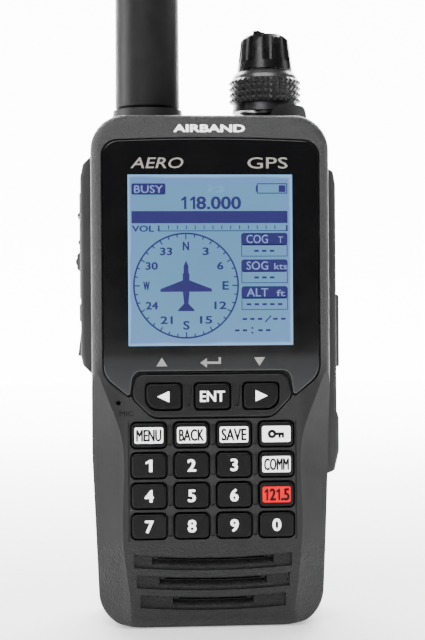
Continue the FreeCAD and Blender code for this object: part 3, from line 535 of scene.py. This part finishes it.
def data_box(top, label, unit, dash_count):
    """A small panel with a solid header; returns its dark pieces and its pale lettering."""
    left, right = 7.1, 19.0
    header = plaque((left + right) / 2, top - 1.6, right - left, 3.2, INK_Y, 0.7)
    dark = [header] + frame_lines(left + 0.1, right - 0.1, top - 5.95, top - 3.0, 0.17, INK_Y)
    middle = 13.0
    dark += dashes([middle + (i - (dash_count - 1) / 2) * 2.0 for i in range(dash_count)], top - 4.6)
    pale = [words(label, 11.2, top - 1.55, 2.1, HEADER_Y, 5.5, bold=0.06),
            words(unit, 17.2, top - 1.75, 1.6, HEADER_Y, 1.3 * len(unit) * 0.85, weight=0.02)]
    return dark, pale


def slid(piece):
    """The display sits a little to the right of the middle of the case."""
    piece.location.x += DISPLAY_SHIFT * MM
    return piece


def display():
    glow = bar(GLOW_X, GLOW_Z, GLOW_WIDTH, GLOW_HEIGHT, GLASS_Y)
    settle(slid(glow), "display_glow", DISPLAY_GLOW, "radio")
    dark = compass()
    pale = [words("BUSY", -16.5, 111.9, 1.9, HEADER_Y, 7.3, bold=0.08)]
    dark.append(plaque(-16.5, 111.9, 8.6, 2.8, INK_Y, 0.4))
    dark += frame_lines(11.35, 18.9, 110.85, 113.25, 0.22, INK_Y) + [bar(11.1, 112.0, 0.3, 1.6, INK_Y)]
    dark.append(bar(17.7, 112.0, 1.7, 1.7, INK_Y))
    dark += [figure_one(x, 108.4, 3.2, 1.3, 0.6, INK_Y) for x in (-7.5, -5.25)]
    dark.append(words("8.000", 1.4, 108.4, 3.1, INK_Y, 11.2, bold=0.3))
    dark.append(bar(-0.9, 104.75, 39.9, 3.1, INK_Y))
    dark.append(words("VOL", -17.95, 101.85, 1.5, INK_Y, 5.5, bold=0.16))
    dark.append(bar(2.45, 101.25, 33.2, 0.2, INK_Y))
    dark += [bar(x, 101.9, 0.42, 1.5, INK_Y) for x in (-13.95, 18.85)]
    dark += [bar(-11.45 + 2.27 * i, 102.15, 0.22, 1.0, INK_Y) for i in range(13)]
    for top, label, unit, count in ((100.7, "COG", "T", 3), (93.9, "SOG", "kts", 3), (87.05, "ALT", "ft", 5)):
        box_dark, box_pale = data_box(top, label, unit, count)
        dark += box_dark
        pale += box_pale
    dark += dashes((7.9, 9.85, 11.8, 15.75, 17.8), 78.7) + dashes((5.95, 7.9, 11.9, 13.9), 75.8)
    dark.append(bar(13.9, 78.7, 0.3, 2.3, INK_Y, 0.75))
    dark += [bar(9.8, z, 0.45, 0.45, INK_Y) for z in (76.4, 75.2)]
    settle(slid(join_pieces(dark)), "display_ink", DISPLAY_INK, "radio")
    settle(slid(join_pieces(pale)), "display_pale_text", DISPLAY_PALE, "radio")
    faint = [bar(-0.9, 112, 1.1, 1.9, INK_Y), hoop(0.7, 112, 0.75, 0.3, INK_Y, 24),
             bar(2.3, 112, 1.1, 1.9, INK_Y)]
    settle(slid(join_pieces(faint)), "display_faint_icon", FAINT_INK, "radio")


display()


# ---- printing on the window and the case ----
def window_print():
    up = [(-14.2, 66.8), (-11.4, 66.8), (-12.8, 69.0)]
    down = [(10.8, 68.9), (13.6, 68.9), (12.2, 66.7)]
    arrow = [(-3.0, 67.6), (-1.3, 68.8), (-1.3, 67.9), (1.7, 67.9), (1.7, 69.0), (2.3, 69.0), (2.3, 67.3),
             (-1.3, 67.3), (-1.3, 66.4)]
    icons = join_pieces([cut_out(points, WINDOW_Y) for points in (up, down, arrow)])
    settle(icons, "window_icons", GREY_INK, "radio")
    left = words("AERO", -13.7, 118.6, 2.7, WINDOW_Y, 13.4, slant=0.2, bold=0.05)
    right = words("GPS", 14.6, 118.6, 2.8, WINDOW_Y, 10.3, bold=0.05)
    settle(join_pieces([left, right]), "window_words", WARM_INK, "radio")
    settle(words("AIRBAND", -0.3, 127.4, 1.8, FRONT_Y, 18.0, bold=0.3), "case_word", WHITE_INK_PAINTED_GLOW, "radio")
    settle(words("MIC", -21.9, 54.9, 1.2, FRONT_Y, 3.4, bold=0.08), "mic_word", BLACK_INK, "radio")


window_print()


# ---- legends on the keys ----
PLATE_WIDTH, PLATE_HEIGHT, PLATE_RADIUS = 7.3, 4.1, 0.5
LEGEND_HEIGHT, DIGIT_HEIGHT = 2.9, 3.0


def key_place(row, column):
    return (column - 1.5) * KEY_PITCH_X, KEY_TOP_ROW_Z - row * KEY_PITCH_Z


def key_symbol(x, z, y):
    """A small lock-key pictogram."""
    ring = hoop(x - 1.1, z, 0.75, 0.75, y, 24)
    return [ring, bar(x + 0.75, z + 0.05, 2.5, 0.7, y), bar(x + 0.85, z - 0.5, 0.6, 1.0, y),
            bar(x + 1.7, z - 0.5, 0.6, 1.0, y)]


def key_legends():
    rows = [
        [("key_menu", "MENU"), ("key_back", "BACK"), ("key_save", "SAVE"), ("key_lock", "")],
        [("key_1", "1"), ("key_2", "2"), ("key_3", "3"), ("key_comm", "COMM")],
        [("key_4", "4"), ("key_5", "5"), ("key_6", "6"), ("key_emergency", "121.5")],
        [("key_7", "7"), ("key_8", "8"), ("key_9", "9"), ("key_0", "0")],
    ]
    for row, keys in enumerate(rows):
        for column, (body, text) in enumerate(keys):
            x, z = key_place(row, column)
            if len(text) == 1:
                if text == "1":
                    figure = figure_one(x, z, 3.1, 1.75, 0.85, KEY_FACE_Y)
                else:
                    figure = words(text, x, z, DIGIT_HEIGHT, KEY_FACE_Y, bold=0.34)
                settle(figure, body + "_digit", WHITE_INK_PAINTED_GLOW, body)
                continue
            # the plate inks carry a painted glow
            plate_ink_painted_glow = RED_INK_PAINTED_GLOW if body == "key_emergency" else WHITE_INK_PAINTED_GLOW
            plate = plaque(x, z, PLATE_WIDTH, PLATE_HEIGHT, KEY_FACE_Y, PLATE_RADIUS)
            settle(plate, body + "_plate", plate_ink_painted_glow, body)
            ink_y = KEY_FACE_Y - FILM
            if body == "key_emergency":
                marks = [figure_one(x - 2.65, z, LEGEND_HEIGHT, 0.9, 0.42, ink_y),
                         words("2", x - 1.0, z, LEGEND_HEIGHT, ink_y, 1.3, bold=0.28),
                         figure_one(x + 0.4, z, LEGEND_HEIGHT, 0.9, 0.42, ink_y),
                         words(".5", x + 2.2, z, LEGEND_HEIGHT, ink_y, 1.9, bold=0.28)]
            elif text:
                marks = [words(text, x, z, LEGEND_HEIGHT, ink_y, 6.2, bold=0.24)]
            else:
                marks = key_symbol(x, z, ink_y)
            settle(join_pieces(marks), body + "_text", BLACK_INK, body)


def nav_legends():
    arrow = [(-1.7, 0), (1.4, 1.45), (1.4, -1.45)]
    left = cut_out([(x - NAV_PITCH, z + NAV_Z) for x, z in arrow], NAV_FACE_Y, 0.02)
    right = cut_out([(-x + NAV_PITCH, z + NAV_Z) for x, z in reversed(arrow)], NAV_FACE_Y, 0.02)
    settle(left, "key_left_arrow", WHITE_INK_PAINTED_GLOW, "key_left")
    settle(right, "key_right_arrow", WHITE_INK_PAINTED_GLOW, "key_right")
    enter = words("ENT", 0, NAV_Z, 2.7, NAV_FACE_Y, 6.2, thick=0.02, bold=0.16)
    settle(enter, "key_enter_text", WHITE_INK_PAINTED_GLOW, "key_enter")


key_legends()
nav_legends()


# ---- studio ----
def studio():
    deselect()
    bpy.ops.mesh.primitive_plane_add(size=6, location=(0, 0, 0))
    floor = bpy.context.object
    floor.name = "floor"
    material, nodes, links, shader, place = finish_base("pale_floor_finish", (0.86, 0.86, 0.86), 0.7)
    emboss(nodes, links, shader, grain_height(nodes, links, place, 60, 3), 0.05, 0.2)
    shader.inputs["Emission Color"].default_value = (1, 1, 1, 1)
    split = nodes.new("ShaderNodeSeparateXYZ")
    links.new(place, split.inputs["Vector"])
    behind = nodes.new("ShaderNodeMapRange")
    behind.inputs["From Min"].default_value = 0.05
    behind.inputs["From Max"].default_value = 0.70
    behind.inputs["To Min"].default_value = 0.5
    behind.inputs["To Max"].default_value = 6.0
    links.new(split.outputs["Y"], behind.inputs["Value"])
    links.new(behind.outputs["Result"], shader.inputs["Emission Strength"])
    floor.data.materials.append(material)
    deselect()
    bpy.ops.mesh.primitive_plane_add(size=2.4, location=(0, 1.6, 1.0), rotation=(math.pi / 2, 0, 0))
    backdrop = bpy.context.object
    backdrop.name = "backdrop"
    glow, nodes, links, shader, place = finish_base("backdrop_finish", (0.9, 0.9, 0.9), 0.8)
    shader.inputs["Emission Color"].default_value = (1, 1, 1, 1)
    shader.inputs["Emission Strength"].default_value = 8.0
    backdrop.data.materials.append(glow)
    world = bpy.data.worlds.new("studio_world")
    world.use_nodes = True
    world.node_tree.nodes["Background"].inputs["Color"].default_value = (1, 1, 1, 1)
    world.node_tree.nodes["Background"].inputs["Strength"].default_value = 0.03
    bpy.context.scene.world = world


def softbox(name, location, target, size, power):
    lamp_data = bpy.data.lights.new(name, "AREA")
    lamp_data.shape = "RECTANGLE"
    lamp_data.size, lamp_data.size_y = size
    lamp_data.energy = power
    lamp = bpy.data.objects.new(name, lamp_data)
    bpy.context.scene.collection.objects.link(lamp)
    lamp.location = location
    aim = Vector(target) - Vector(location)
    lamp.rotation_euler = aim.to_track_quat("-Z", "Y").to_euler()


studio()
softbox("left_softbox", (-0.85, 0.05, 0.28), (0, 0, 0.09), (0.4, 0.9), 9.5)
softbox("right_softbox", (0.85, 0.05, 0.24), (0, 0, 0.09), (0.4, 0.9), 1.6)
softbox("top_softbox", (-0.1, -0.45, 0.95), (0, 0, 0.1), (0.9, 0.5), 10)
softbox("front_softbox", (-0.55, -1.20, 0.95), (0, 0, 0.08), (0.7, 0.5), 7)
softbox("floor_softbox", (0, 1.1, 1.1), (0, 0.9, 0), (2.6, 0.6), 70)

CAMERA_DISTANCE = 0.40
CAMERA_YAW = math.radians(4.5)
CAMERA_ROLL = math.radians(0.4)
HALF_VIEW = 0.0816
camera_data = bpy.data.cameras.new("camera")
camera_data.sensor_width = 36
camera_data.lens = 18 * CAMERA_DISTANCE / HALF_VIEW
camera = bpy.data.objects.new("camera", camera_data)
bpy.context.scene.collection.objects.link(camera)
AIM = Vector((0.0002, FRONT_Y * MM, 0.0785))
camera.location = AIM + Vector((-math.sin(CAMERA_YAW), -math.cos(CAMERA_YAW), 0)) * CAMERA_DISTANCE
camera.rotation_euler = (math.pi / 2, CAMERA_ROLL, -CAMERA_YAW)
bpy.context.scene.camera = camera
